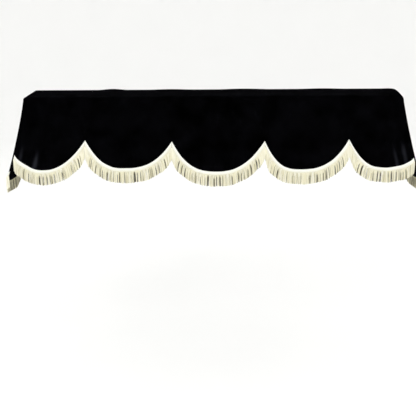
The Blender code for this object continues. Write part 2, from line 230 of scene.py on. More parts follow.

# Yarns: how far up the tape they start, how much they lean with the band, how soon they hang
# straight again and how near an end of the band they don't lean, how far below the tape their
# painted shade evens out to their layer's, and their girth at places along them
YARN_START = 0.0022
LEAN_SHARE = 0.6
LEAN_FADE = 0.025
LEAN_ROOM = 0.030
ROOT_FADE = 0.005
YARN_GIRTH = ((0.0, 0.75), (0.1, 0.95), (0.5, 1.00), (0.92, 1.02), (1.0, 0.70))

# Waves along the band, each as sin(length / wave): uneven yarn lengths, clumps of yarns with the
# drifts of their phase as (size, wave, seeds), and light and dark streaks with their drift
UNEVEN_WAVE = 0.011
CLUMP_WAVE = 0.0024
CLUMP_DRIFTS = ((2.6, 0.0131, 1), (1.4, 0.0067, 2))
STREAK_WAVES = (0.0011, 0.0019)
STREAK_DRIFT = (2.2, 0.017)

# Sway of a yarn, its waves sideways and outwards, and how far yarns spread at their tips, stay
# off the wall's face, and may pass the end of their band
YARN_SWAY = 0.0004
SWAY_WAVES = (0.009, 0.012)
TIP_SPREAD = 0.0006
YARN_CLEARANCE = 0.0006
END_OVERRUN = 0.0006

# Partings between locks, each drawn between two values: half width, depth, and the part of the
# yarn where it starts to open, which takes PARTING_OPENS of it
PARTING_HALF_WIDTH = (0.0014, 0.0030)
PARTING_DEPTH = (0.25, 1.0)
PARTING_START = (-0.10, 0.25)
PARTING_OPENS = 0.20

# Layers of yarn from the cloth outwards: distance out, shift and spacing along the band, how
# far yarns draw together, are pushed from a parting and sink in it, brightness with painted
# shade for the layers behind, and the painted shade added in a parting
YARN_LAYERS = (
    {"stand": 0.0011, "shift": 0.33, "spacing": 1.0, "drawn": 0.0, "pushed": 0.0, "sunk": 0.0,
     "tone_and_shade": 0.44, "parting_shade": 0.7},
    {"stand": 0.0021, "shift": -0.33, "spacing": 1.15, "drawn": 0.0009, "pushed": 0.0012, "sunk": 0.0012,
     "tone_and_shade": 0.66, "parting_shade": 1.0},
    {"stand": 0.0031, "shift": 0.0, "spacing": 1.2, "drawn": 0.0012, "pushed": 0.0016, "sunk": 0.0020,
     "tone_and_shade": 0.90, "parting_shade": 0.9},
)
# Keeps the partings' random draws apart from those of the layers
PARTING_DRAW = 10

# Node in the frame that each wall's cloth stands in for
WALL_NODES = {
    "front": "front_panel",
    "right": "right_side_panel",
    "back": "back_panel",
    "left": "left_side_panel",
}
SMOOTH_ANGLE = math.radians(50)

# Real sizes of the finishes' patterns: patches of painted sheen on brushed pile and of dented pile,
# the weave as it is drawn, threads of the tape, one turn of a yarn's two plies, and patches in the board's
# paint
PAINTED_SHEEN_PATCH = 0.070
DENTED_PATCH = 0.022
DRAWN_WEAVE = 0.0016
TAPE_THREAD = 0.0009
PLY_TURN = 0.0045
BOARD_PATCH = 0.4

# The studio's floor, its soft boxes as (name, place, size, power), all turned to the cloth, and
# its even pale surround
FLOOR_REACH = 5.0
FLOOR_BEND = 2.0
LIGHT_TARGET = (0.0, 0.0, -0.2)
LIGHTS = (
    ("key_soft_box", (-1.6, -3.2, 2.4), (2.4, 1.8), 40.0),
    ("right_fill", (3.0, -1.8, 1.2), (2.0, 2.0), 16.0),
    ("back_fill", (0.5, 3.2, 2.2), (2.4, 1.6), 18.0),
)
SURROUND_STRENGTH = 1.0


def hex_colour(text):
    """sRGB hex to linear: each part v/255 goes through the sRGB curve, v/12.92 or ((v+0.055)/1.055)^2.4."""
    values = [int(text[start:start + 2], 16) / 255 for start in (1, 3, 5)]
    return tuple(value / 12.92 if value <= 0.04045 else ((value + 0.055) / 1.055) ** 2.4 for value in values)


def rgba(colour):
    return (*colour, 1.0)


def smooth_step(value):
    """0 below 0, 1 above 1, and 3v^2 - 2v^3 between them."""
    value = np.clip(value, 0.0, 1.0)
    return value * value * (3.0 - 2.0 * value)


def unit(vectors):
    return vectors / np.linalg.norm(vectors, axis=-1, keepdims=True)


def reach(wall, depth):
    """Distance of a wall from the hood's middle: half size plus flare times (depth/flare depth)^power."""
    half = HALF_DEPTH if wall in ("front", "back") else HALF_WIDTH
    row = WALLS[wall]
    return half + row["flare"] * (np.maximum(depth, 0.0) / FLARE_DEPTH) ** row["power"]


def plan_radius(corner, depth):
    """Corner radius in plan, which opens evenly from its top to its low value."""
    row = CORNERS[corner]
    opened = np.clip(depth / CORNER_OPEN_DEPTH, 0.0, 1.0)
    return row["plan_top"] + (row["plan_low"] - row["plan_top"]) * opened


def roll_radius(wall, across):
    """Radius of the roll over the edge, blended between the wall's corners."""
    start = CORNERS[WALLS[wall]["start"]]["roll"]
    end = CORNERS[WALLS[wall]["end"]]["roll"]
    return start + (end - start) * (across + 1.0) / 2.0


def hem_points(wall):
    return np.array([HEMS[wall]["start"][0], *[row[0] for row in HEMS[wall]["scallops"]]])


def hem_depth(wall, across):
    """Depth of the hem: between two points it sags by 1 - |q|^power, with q = -1 and 1 there."""
    rows = np.array(HEMS[wall]["scallops"])
    points = np.array([HEMS[wall]["start"], *rows[:, :2]])
    index = np.clip(np.searchsorted(points[:, 0], across, side="right") - 1, 0, len(rows) - 1)
    left_across, left_depth = np.moveaxis(points[index], -1, 0)
    right_across, right_depth, place, low_depth, power_before, power_after = np.moveaxis(rows[index], -1, 0)
    part = (across - left_across) / (right_across - left_across) - place
    reached = np.where(part < 0, -part / place, part / (1.0 - place))
    power = np.where(part < 0, power_before, power_after)
    side_depth = np.where(part < 0, left_depth, right_depth)
    return side_depth + (low_depth - side_depth) * (1.0 - np.clip(reached, 0.0, 1.0) ** power)


def hem_slope(wall, across):
    """Fall of the hem for each metre along the wall, by differences that stay inside a scallop."""
    step = 0.0005
    points = hem_points(wall)
    inside = np.clip(across, points[0] + step, points[-1] - step)
    for point in points[1:-1]:
        near = np.abs(inside - point) < step
        inside = np.where(near, point + np.where(across < point, -step, step), inside)
    rise = hem_depth(wall, inside + step / 2) - hem_depth(wall, inside - step / 2)
    return np.clip(rise / (step * WALL_HALF_LENGTH[wall]), -STEEPEST, STEEPEST)


def header_low_depth(wall, across):
    """Lower edge of the tape: its width, square to the hem, measured straight down."""
    return hem_depth(wall, across) + HEADER_WIDTH * np.sqrt(1.0 + hem_slope(wall, across) ** 2)


def cloth_depth(wall, across):
    """Depth of the cloth's own edge, behind the tape on a fringed wall."""
    if HEMS[wall]["fringed"]:
        return header_low_depth(wall, across) - HEADER_OVER_HEM
    return hem_depth(wall, across)


def bell_sum(rows, wall, across, depth):
    """Sum of size exp(-(distance/half width)^2), each growing from its start to its full depth."""
    total = np.zeros(np.broadcast(across, depth).shape)
    for centre, half_width, size, starts, ends in rows:
        bell = np.exp(-(((across - centre) * WALL_HALF_LENGTH[wall] / half_width) ** 2))
        total = total + size * bell * smooth_step((depth - starts) / (ends - starts))
    return total


def seam_fade(across):
    """1 along a wall, falling to 0 at its corner seams, as 1 - |across|^power."""
    return np.maximum(1.0 - np.abs(across) ** FOLD_END_POWER, 0.0)


def two_waves(along, pitches, starts, share):
    """Two sines along the wall, the second one a share of the first."""
    first, second = (np.sin(along * 2 * math.pi / pitch + start) for pitch, start in zip(pitches, starts))
    return first + share * second


def crease_height(wall, across, depth):
    """Sum of bells about short straight lines, plus puckers under the top seam and hem ripples.

    A crease is exp(-(distance from its line/half width)^2). A pucker or ripple is a sum of two
    sines along the wall that dies out away from the seam or the hem.
    """
    along = across * WALL_HALF_LENGTH[wall]
    height = np.zeros(np.broadcast(across, depth).shape)
    for start_along, start_depth, end_along, end_depth, half_width, full in CREASES[wall]:
        run, fall = end_along - start_along, end_depth - start_depth
        part = ((along - start_along) * run + (depth - start_depth) * fall) / (run * run + fall * fall)
        near = np.clip(part, 0.0, 1.0)
        square = (along - start_along - near * run) ** 2 + (depth - start_depth - near * fall) ** 2
        height = height + full * np.exp(-square / half_width ** 2)
    below = np.maximum(depth, 0.0)
    pucker = PUCKER_HEIGHT * two_waves(along, (0.034, 0.0213), (1.3, 0.0), 0.7)
    height = height + pucker * np.exp(-below / PUCKER_FADE) * smooth_step(below / PUCKER_START)
    ripple = RIPPLE_HEIGHT * two_waves(along, (0.061, 0.037), (0.6, 2.1), 0.6)
    above_hem = np.maximum(hem_depth(wall, across) - depth, 0.0)
    return (height + ripple * np.exp(-above_hem / RIPPLE_FADE)) * seam_fade(across)


def ruck_height(x, y):
    """Sum of low domes (1 - distance^2)^2, each zero outside its own ellipse."""
    height = np.zeros(np.broadcast(x, y).shape)
    for centre_x, centre_y, half_length, half_width, full in RUCKS:
        square = ((x - centre_x) / half_length) ** 2 + ((y - centre_y) / half_width) ** 2
        height = height + full * np.maximum(1.0 - square, 0.0) ** 2
    return height


def wall_run(wall, depth, inset):
    """Start and end of a wall's straight stretch, and its two plan radii."""
    index = WALL_ORDER.index(wall)
    before = WALL_ORDER[index - 1]
    after = WALL_ORDER[(index + 1) % len(WALL_ORDER)]
    start_radius = plan_radius(WALLS[wall]["start"], depth) - inset
    end_radius = plan_radius(WALLS[wall]["end"], depth) - inset
    low = -(reach(before, depth) - inset) + start_radius
    high = reach(after, depth) - inset - end_radius
    return low, high, start_radius, end_radius


def wall_point(wall, across, depth, inset=0.0, thickness=0.002):
    """Outer face of the cloth: a rounded rectangle in plan at each depth, moved out by the folds."""
    across, depth = np.broadcast_arrays(np.asarray(across, float), np.asarray(depth, float))
    low, high, start_radius, end_radius = wall_run(wall, depth, inset)
    length = high - low + (start_radius + end_radius) * math.pi / 4
    along = low - start_radius * math.pi / 4 + (across + 1.0) / 2.0 * length
    start_turn = np.maximum(low - along, 0.0) / start_radius
    end_turn = np.maximum(along - high, 0.0) / end_radius
    sideways = np.clip(along, low, high)
    sideways = sideways - start_radius * np.sin(start_turn) + end_radius * np.sin(end_turn)
    outwards = reach(wall, depth) - inset
    outwards = outwards - start_radius * (1.0 - np.cos(start_turn)) - end_radius * (1.0 - np.cos(end_turn))
    turn = end_turn - start_turn
    fold = bell_sum(FOLDS[wall], wall, across, depth) * seam_fade(across)
    fold = fold + crease_height(wall, across, depth)
    sideways = sideways + fold * np.sin(turn)
    outwards = outwards + fold * np.cos(turn)
    out_x, out_y = WALLS[wall]["out"]
    x = outwards * out_x - sideways * out_y
    y = outwards * out_y + sideways * out_x
    lift = ruck_height(x, y) * np.maximum(1.0 - depth / RUCK_FADE, 0.0)
    return np.stack([x, y, thickness - depth + lift], axis=-1)


def sheet_point(wall, across, row, thickness):
    """Row 0 to 1 rolls a quarter turn over the edge, and row 1 to 2 goes from there to the hem."""
    roll = roll_radius(wall, across)
    angle = np.minimum(row, 1.0) * math.pi / 2
    fall = np.maximum(row - 1.0, 0.0) * (cloth_depth(wall, across) - roll)
    depth = roll * (1.0 - np.cos(angle)) + fall
    return wall_point(wall, across, depth, roll * (1.0 - np.sin(angle)), thickness)


def outward_normal(surface, across, down):
    """Outward normal of a surface of (across, down): down it crossed with across it, by differences."""
    before, after = (surface(across + step, down) for step in (-NORMAL_STEP, NORMAL_STEP))
    above, below = (surface(across, down + step) for step in (-NORMAL_STEP, NORMAL_STEP))
    return unit(np.cross(below - above, after - before))


def wall_normal(wall, across, depth):
    return outward_normal(lambda place, down: wall_point(wall, place, down), across, depth)


def grid_quads(rows, columns, first=0):
    """Quads over a grid of points numbered row by row from first."""
    index = first + np.arange(rows * columns).reshape(rows, columns)
    quads = np.stack([index[:-1, :-1], index[:-1, 1:], index[1:, 1:], index[1:, :-1]], axis=-1)
    return quads.reshape(-1, 4)


def rim_quads(rows, columns):
    """Quads that join the edges of two like grids, one numbered after the other."""
    index = np.arange(rows * columns).reshape(rows, columns)
    loop = np.concatenate([index[0, :-1], index[:-1, -1], index[-1, :0:-1], index[:0:-1, 0]])
    after = np.roll(loop, -1)
    second = rows * columns
    return np.stack([loop, loop + second, after + second, after], axis=-1)


def tube_quads(tubes, rings, sides):
    """Quads round closed tubes numbered tube, ring, side, each end closed by strips of quads."""
    index = np.arange(tubes * rings * sides).reshape(tubes, rings, sides)
    after = np.roll(index, -1, axis=2)
    round_quads = np.stack([index[:, :-1], after[:, :-1], after[:, 1:], index[:, 1:]], axis=-1)
    strip = np.arange(sides // 2 - 1)
    near = [strip, strip + 1, sides - 2 - strip, sides - 1 - strip]
    start = np.stack([index[:, 0][:, side] for side in near[::-1]], axis=-1)
    end = np.stack([index[:, -1][:, side] for side in near], axis=-1)
    return np.concatenate([round_quads.reshape(-1, 4), start.reshape(-1, 4), end.reshape(-1, 4)])


def facing_out(points, quads):
    """Turns all quads over if the volume they close, the sum of a.(b x c)/6, is below zero."""
    corners = points[quads]
    first = np.einsum("ij,ij->i", corners[:, 0], np.cross(corners[:, 1], corners[:, 2]))
    second = np.einsum("ij,ij->i", corners[:, 0], np.cross(corners[:, 2], corners[:, 3]))
    return quads if (first.sum() + second.sum()) > 0 else quads[:, ::-1]


def make_piece(name, points, quads, places, finishes, finish_index, field=None, values=None):
    """One mesh object at the origin from whole arrays, with its own UV map and one named field."""
    mesh = bpy.data.meshes.new(name)
    mesh.vertices.add(len(points))
    mesh.vertices.foreach_set("co", points.astype(np.float32).ravel())
    mesh.loops.add(quads.size)
    mesh.loops.foreach_set("vertex_index", quads.astype(np.int32).ravel())
    mesh.polygons.add(len(quads))
    mesh.polygons.foreach_set("loop_start", np.arange(0, quads.size, 4, dtype=np.int32))
    for finish in finishes:
        mesh.materials.append(finish)
    mesh.polygons.foreach_set("material_index", finish_index.astype(np.int32))
    mesh.update(calc_edges=True)
    layer = mesh.uv_layers.new(name="cut_cloth")
    layer.data.foreach_set("uv", places[quads.ravel()].astype(np.float32).ravel())
    if field:
        attribute = mesh.attributes.new(field, "FLOAT", "POINT")
        attribute.data.foreach_set("value", values.astype(np.float32))
    mesh.shade_smooth()
    mesh.set_sharp_from_angle(angle=SMOOTH_ANGLE)
    if mesh.validate(verbose=False):
        raise RuntimeError(f"{name} had faulty faces")
    piece = bpy.data.objects.new(name, mesh)
    bpy.context.scene.collection.objects.link(piece)
    return piece


def make_sheet(name, outer, inner, places, finishes, painted_sheen):
    """A closed sheet: pile on the outer grid and the rim, woven ground on the inner grid."""
    rows, columns = outer.shape[:2]
    count = rows * columns
    points = np.concatenate([outer.reshape(-1, 3), inner.reshape(-1, 3)])
    pile, ground = grid_quads(rows, columns), grid_quads(rows, columns, count)[:, ::-1]
    rim = rim_quads(rows, columns)
    quads = facing_out(points, np.concatenate([pile, ground, rim]))
    finish_index = np.repeat([0, 1, 0], [len(pile), len(ground), len(rim)])
    flat = places.reshape(-1, 2)
    # The outer grid's painted highlight streaks go on both faces as one field
    return make_piece(name, points, quads, np.concatenate([flat, flat]), finishes, finish_index,
                      "painted_highlight", np.tile(painted_sheen.ravel(), 2))


def stand_in(piece, nodes):
    """Tells the frame that a piece rides on the one body and stands for these nodes."""
    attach(piece, "root")
    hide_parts(*nodes)
    return piece


def add_node(tree, kind, values=None, links=None, stops=(), **settings):
    """Adds a shader node with its properties, input values, colour stops and links into its inputs."""
    node = tree.nodes.new(f"ShaderNode{kind}")
    for name, value in settings.items():
        setattr(node, name, value)
    for name, value in (values or {}).items():
        node.inputs[name].default_value = value
    for name, output in (links or {}).items():
        tree.links.new(output, node.inputs[name])
    for index, (place, colour) in enumerate(stops):
        elements = node.color_ramp.elements
        element = elements[index] if index < 2 else elements.new(place)
        element.position = place
        element.color = rgba(colour)
    return node


def empty_finish(name):
    """A material of this name with no nodes, and its tree."""
    finish = bpy.data.materials.get(name) or bpy.data.materials.new(name)
    finish.use_nodes = True
    finish.node_tree.nodes.clear()
    return finish, finish.node_tree


def close_finish(tree, values, links):
    """Ends a material with one Principled shader: plain values, and patterns linked into it."""
    shader = add_node(tree, "BsdfPrincipled", values, links)
    add_node(tree, "OutputMaterial", links={"Surface": shader.outputs["BSDF"]})


def wave_scale(pitch):
    """Scale of a wave texture with its bands a pitch apart: its height is a sine of 20 scale place."""
    return 2 * math.pi / pitch / 20


def velvet_pile(settings):
    """Cotton velvet, woven as a pile and cut short, dyed black.

    The eye gets a deep matte black that turns faintly grey where the pile is seen from its
    side, with a fine grain, soft patches of painted sheen where the pile has been brushed another
    way, and a few grey streaks of painted highlight, kept on the cloth, where its folds catch the light.
    """
    finish, tree = empty_finish("black_cut_pile_velvet")
    place = add_node(tree, "TexCoord").outputs["Object"]
    # Painted highlight: grey streaks kept on the cloth where its folds catch the light, which lift the pile's
    # colour
    painted_highlight = add_node(tree, "Attribute", attribute_name="painted_highlight").outputs["Fac"]
    # Patches of painted sheen: noise that lifts the pile's colour where brushed pile would catch the light
    brushed_sheen = add_node(tree, "TexNoise", {"Scale": 1 / PAINTED_SHEEN_PATCH, "Detail": 3.0, "Roughness": 0.55},
                       {"Vector": place})
    painted_sheen = add_node(tree, "Math", {1: 0.5}, {0: brushed_sheen.outputs["Fac"], 2: painted_highlight}, operation="MULTIPLY_ADD")
    colour = add_node(tree, "ValToRGB", links={"Fac": painted_sheen.outputs["Value"]}, stops=(
        (0.17, settings.pile_colour),
        (1.00, settings.painted_highlight_colour),
        (0.36, settings.brushed_sheen_colour),
    ))
    pile = add_node(tree, "TexNoise", {"Scale": 1 / settings.pile_grain, "Detail": 2.0}, {"Vector": place})
    grain = add_node(tree, "Bump", {"Strength": 0.35, "Distance": 0.0004}, {"Height": pile.outputs["Fac"]})
    dented = add_node(tree, "TexNoise", {"Scale": 1 / DENTED_PATCH, "Detail": 2.0}, {"Vector": place})
    bump = add_node(tree, "Bump", {"Strength": 0.25, "Distance": 0.0012},
                    {"Height": dented.outputs["Fac"], "Normal": grain.outputs["Normal"]})
    close_finish(tree, {
        "Roughness": 0.95,
        "Specular IOR Level": 0.0,
        "Sheen Weight": settings.sheen,
        "Sheen Roughness": 0.30,
        "Sheen Tint": rgba(settings.sheen_colour),
    }, {"Base Color": colour.outputs["Color"], "Normal": bump.outputs["Normal"]})
    return finish


def velvet_ground(settings):
    """Plain woven cotton ground of the velvet, seen from inside the hood.

    The eye gets a dull black with a square weave. Its threads are 0.4 mm apart on real velvet
    and are drawn at four times that, because finer ones would not show.
    """
    finish, tree = empty_finish("black_woven_velvet_back")
    place = add_node(tree, "TexCoord").outputs["UV"]
    bands = {"Scale": wave_scale(DRAWN_WEAVE), "Distortion": 0.4, "Detail": 1.0}
    warp = add_node(tree, "TexWave", bands, {"Vector": place}, bands_direction="X")
    weft = add_node(tree, "TexWave", bands, {"Vector": place}, bands_direction="Y")
    weave = add_node(tree, "Math", links={0: warp.outputs["Fac"], 1: weft.outputs["Fac"]},
                     operation="MULTIPLY")
    bump = add_node(tree, "Bump", {"Strength": 0.5, "Distance": 0.0003}, {"Height": weave.outputs["Value"]})
    values = {"Base Color": rgba(settings.ground_colour), "Roughness": 0.95, "Specular IOR Level": 0.0}
    close_finish(tree, values, {"Normal": bump.outputs["Normal"]})
    return finish


def tape_finish(settings):
    """Woven rayon gimp tape, which the eye sees as the brightest, smoothest part of the fringe."""
    finish, tree = empty_finish("cream_woven_rayon_tape")
    place = add_node(tree, "TexCoord").outputs["UV"]
    threads = add_node(tree, "TexWave",
                       {"Scale": wave_scale(TAPE_THREAD), "Distortion": 1.2, "Detail": 2.0},
                       {"Vector": place}, bands_direction="X")
    down = add_node(tree, "SeparateXYZ", links={"Vector": place}).outputs["Y"]
    above = add_node(tree, "Math", {1: -1 / HEADER_WIDTH, 2: 1.0}, {0: down}, operation="MULTIPLY_ADD")
    raised = add_node(tree, "Math", {1: 0.4}, {0: threads.outputs["Fac"], 2: above.outputs["Value"]},
                      operation="MULTIPLY_ADD")
    # Painted shade between the threads, and darker towards the lower edge
    colour = add_node(tree, "ValToRGB", links={"Fac": raised.outputs["Value"]},
                      stops=((0.0, settings.tape_shade), (0.75, settings.tape_colour)))
    bump = add_node(tree, "Bump", {"Strength": 0.4, "Distance": 0.0003}, {"Height": threads.outputs["Fac"]})
    close_finish(tree, {"Roughness": 0.55, "Specular IOR Level": 0.4, "Sheen Weight": 0.15},
                 {"Base Color": colour.outputs["Color"], "Normal": bump.outputs["Normal"]})
    return finish


def yarn_finish(settings):
    """Two-ply rayon yarn, spun and twisted, which gives soft satin cords with a slanting lay.

    The value kept on each yarn holds its own tone and painted shade: yarns that hang behind
    others and in partings are painted darker. The ply's height is
    sin(4 pi (length / turn of the ply + part of the way round)), one ridge for each ply.
    """
    finish, tree = empty_finish("cream_two_ply_rayon_yarn")
    tone_and_shade = add_node(tree, "Attribute", attribute_name="tone_and_shade").outputs["Fac"]
    # Low values give yarn_shade, the painted shade of yarns behind others and in partings
    colour = add_node(tree, "ValToRGB", links={"Fac": tone_and_shade}, stops=(
        (0.0, settings.yarn_shade),
        (1.0, settings.yarn_light),
        (0.6, settings.yarn_colour),
    ))
    place = add_node(tree, "TexCoord").outputs["UV"]
    parts = add_node(tree, "SeparateXYZ", links={"Vector": place}).outputs
    turns = add_node(tree, "Math", {1: 1 / PLY_TURN}, {0: parts["Y"], 2: parts["X"]},
                     operation="MULTIPLY_ADD")
    angle = add_node(tree, "Math", {1: 4 * math.pi}, {0: turns.outputs["Value"]}, operation="MULTIPLY")
    lay = add_node(tree, "Math", links={0: angle.outputs["Value"]}, operation="SINE")
    bump = add_node(tree, "Bump", {"Strength": 0.5, "Distance": 0.0002}, {"Height": lay.outputs["Value"]})
    close_finish(tree, {"Roughness": 0.6, "Specular IOR Level": 0.35, "Sheen Weight": 0.2},
                 {"Base Color": colour.outputs["Color"], "Normal": bump.outputs["Normal"]})
    return finish


def stage_finish(settings):
    """Matt painted studio board: pale, even and without a shine."""
    finish, tree = empty_finish("pale_matt_studio_board")
    place = add_node(tree, "TexCoord").outputs["Object"]
    roller = add_node(tree, "TexNoise", {"Scale": 1 / BOARD_PATCH, "Detail": 2.0}, {"Vector": place})
    colour = add_node(tree, "ValToRGB", links={"Fac": roller.outputs["Fac"]},
                      stops=((0.2, settings.floor_shade), (0.8, settings.floor_colour)))
    close_finish(tree, {"Roughness": 0.95, "Specular IOR Level": 0.1},
                 {"Base Color": colour.outputs["Color"]})
    return finish


def cloth_columns(wall, step):
    """Places across a panel: even steps between the hem's points, close together at the seams."""
    points = hem_points(wall)
    half = WALL_HALF_LENGTH[wall]
    pieces = [
        np.linspace(start, end, max(int(round((end - start) * half / step)), 2), endpoint=False)
        for start, end in zip(points[:-1], points[1:])
    ]
    columns = np.concatenate([*pieces, [1.0]])
    trim = SEAM_GAP / 2 / half
    near_seam = np.array(SEAM_STEPS) / half
    columns[0], columns[-1] = -1.0 + trim, 1.0 - trim
    return np.unique(np.concatenate([columns, -1.0 + near_seam, 1.0 - near_seam]))


def seam_dip(distance):
    """How far cloth draws in at a seam: depth exp(-(distance/width)^2)."""
    return SEAM_DIP * np.exp(-((distance / SEAM_DIP_WIDTH) ** 2))


def make_wall_cloth(wall, settings, finishes):
    """A wall's cloth: the sheet surface on a fine grid, drawn in at its seams, with an inner face."""
    columns = cloth_columns(wall, settings.column_step)
    first = np.arcsin(SEAM_GAP / 2 / roll_radius(wall, columns)) / (math.pi / 2)
    drop = float(np.max(cloth_depth(wall, columns)))
    hung = np.linspace(1.0, 2.0, int(round(drop / settings.row_step)) + 1)[1:]
    rows = np.concatenate([np.linspace(0.0, 1.0, settings.roll_rows + 1), hung])
    grid = np.repeat(rows[:, None], len(columns), axis=1)
    grid[0] = first
    across = np.broadcast_to(columns, grid.shape)
    outer = sheet_point(wall, across, grid, settings.thickness)
    normal = outward_normal(
        lambda place, row: sheet_point(wall, place, row, settings.thickness), across, grid)
    roll = roll_radius(wall, across)
    hung_length = cloth_depth(wall, across) - roll
    hung_run = np.maximum(grid - 1.0, 0.0) * hung_length
    run_down = np.minimum(grid, 1.0) * roll * math.pi / 2 + hung_run
    from_side = (1.0 - np.abs(across)) * WALL_HALF_LENGTH[wall]
    dip = np.maximum(seam_dip(run_down), seam_dip(from_side))
    if not HEMS[wall]["fringed"]:
        from_stitches = hung_length - hung_run - STITCHES_ABOVE_HEM
        dip = dip + STITCH_DIP * np.exp(-((from_stitches / STITCH_DIP_WIDTH) ** 2))
    outer = outer - dip[..., None] * normal
    inner = outer - settings.thickness * normal
    places = np.stack([across * WALL_HALF_LENGTH[wall], run_down], axis=-1)
    # Painted highlights: grey streaks where the folds catch the light
    painted_sheen = bell_sum(PAINTED_FOLD_HIGHLIGHTS[wall], wall, across, run_down)
    return make_sheet(f"{wall}_velvet", outer, inner, places, finishes, painted_sheen)


def top_edge(wall, across):
    """Edge of the top panel along one wall, half a gap inside the seam."""
    return wall_point(wall, across, np.zeros(len(across)), roll_radius(wall, across) + SEAM_GAP / 2)[:, :2]


def seam_spacing(count, length):
    """Even places from 0 to 1, with extra ones close to both ends."""
    near = np.array(SEAM_STEPS) / length
    return np.unique(np.concatenate([np.linspace(0.0, 1.0, count + 1), near, 1.0 - near]))


def make_top_cloth(settings, finishes):
    """Top panel: a Coons patch, the two ruled surfaces less the corners' one, lifted by the rucks."""
    u = seam_spacing(int(round(2 * HALF_WIDTH / settings.column_step)), 2 * HALF_WIDTH)
    v = seam_spacing(int(round(2 * HALF_DEPTH / settings.column_step)), 2 * HALF_DEPTH)
    front, back = top_edge("front", 2 * u - 1)[None], top_edge("back", 1 - 2 * u)[None]
    right, left = top_edge("right", 2 * v - 1)[:, None], top_edge("left", 1 - 2 * v)[:, None]
    s, t = u[None, :, None], v[:, None, None]
    corners = (1 - s) * (1 - t) * front[:, :1] + s * (1 - t) * front[:, -1:]
    corners = corners + (1 - s) * t * back[:, :1] + s * t * back[:, -1:]
    flat = (1 - t) * front + t * back + (1 - s) * left + s * right - corners
    from_side = np.minimum(u, 1 - u)[None, :] * 2 * HALF_WIDTH
    from_edge = np.minimum(v, 1 - v)[:, None] * 2 * HALF_DEPTH
    dip = np.maximum(seam_dip(from_side), seam_dip(from_edge))
    height = settings.thickness + ruck_height(flat[..., 0], flat[..., 1]) - dip
    outer = np.concatenate([flat, height[..., None]], axis=-1)
    inner = outer.copy()
    inner[..., 2] += dip - settings.thickness
    return make_sheet("top_velvet", outer, inner, flat, finishes, np.zeros(height.shape))


def band_places(wall, start, end, pitch, shift):
    """Places spread evenly by length along a scallop's band, shifted by a part of the pitch."""
    fine = np.linspace(start, end, 801)
    lengths = np.diff(fine) * WALL_HALF_LENGTH[wall]
    middle = (fine[1:] + fine[:-1]) / 2
    run = np.concatenate([[0.0], np.cumsum(lengths * np.sqrt(1 + hem_slope(wall, middle) ** 2))])
    count = max(int(run[-1] / pitch), 2)
    wanted = (np.arange(count) + 0.5 + shift) * run[-1] / count
    return np.interp(np.clip(wanted, 0.0, run[-1]), run, fine), wanted


def end_trim(wall, across):
    """How far across the wall a tape stops short of an end, which may be a corner of the hood."""
    length = CORNER_TRIM if abs(across) == 1.0 else HEADER_END_TRIM
    return length / WALL_HALF_LENGTH[wall]


def tape_band(wall, start, end):
    """Header tape: a flat band along the hem, with a twisted cord on each edge and cross ribs.

    Its outer face stands out by its thickness plus |cos(pi length / cord pitch)| on the edge
    cords and (1 + cos(2 pi length / rib pitch)) / 2 between them.
    """
    low, high = start + end_trim(wall, start), end - end_trim(wall, end)
    across, length = band_places(wall, low, high, RIB_PITCH / 5, 0.0)
    across[0], across[-1] = low, high
    high_depth, low_depth = hem_depth(wall, across), header_low_depth(wall, across)
    part, face, cord, rib = np.array(TAPE_SECTION).T
    cords = np.abs(np.cos(math.pi * length / CORD_PITCH))[:, None] * cord
    ribs = (1 + np.cos(2 * math.pi * length / RIB_PITCH))[:, None] / 2 * rib
    stand = HEADER_GAP + HEADER_THICKNESS * face + TAPE_RELIEF * (cords + ribs)
    depth = high_depth[:, None] + (low_depth - high_depth)[:, None] * part
    columns = np.broadcast_to(across[:, None], depth.shape)
    points = wall_point(wall, columns, depth) + stand[..., None] * wall_normal(wall, columns, depth)
    places = np.stack(np.broadcast_arrays(length[:, None], part * HEADER_WIDTH), axis=-1)
    return points[None], places[None], np.full((1, *depth.shape), 1.0)


def partings(length, part, room, settings, seed):
    """Gaps between locks of yarn, and how far they push each yarn aside, for each ring of it.

    A gap is depth exp(-d^2), with d the distance along the band in half widths, and opens down
    the yarn as a smooth step from its own start. It pushes by d times that, away from its middle.
    """
    rng = np.random.default_rng([seed, PARTING_DRAW])
    count = max(int(length[-1] / settings.parting_pitch), 1)
    places = (np.arange(count) + rng.uniform(0.0, 1.0, count)) * length[-1] / count
    half_width = rng.uniform(*PARTING_HALF_WIDTH, count)
    depth = rng.uniform(*PARTING_DEPTH, count) ** 1.6
    start = rng.uniform(*PARTING_START, count)
    away = (length[:, None] - places) / half_width
    bell = depth * np.exp(-(away ** 2)) * (0.25 + 0.75 * room[:, None])
    opened = smooth_step((part - start[:, None]) / PARTING_OPENS)
    return bell @ opened, (away * bell) @ opened


def yarn_tubes(middle, level, part, settings):
    """Rings round each yarn's middle line: radius (side cos t + front sin t), both square to it."""
    tangent = unit(np.gradient(middle, axis=1))
    side = unit(np.cross(level[:, None], tangent))
    front = np.cross(tangent, side)
    turn = np.arange(settings.yarn_sides) * 2 * math.pi / settings.yarn_sides
    girth = settings.yarn_diameter / 2 * np.interp(part, *np.array(YARN_GIRTH).T)
    ring = np.cos(turn)[:, None] * side[:, :, None] + np.sin(turn)[:, None] * front[:, :, None]
    return middle[:, :, None] + girth[None, :, None, None] * ring, turn / (2 * math.pi)


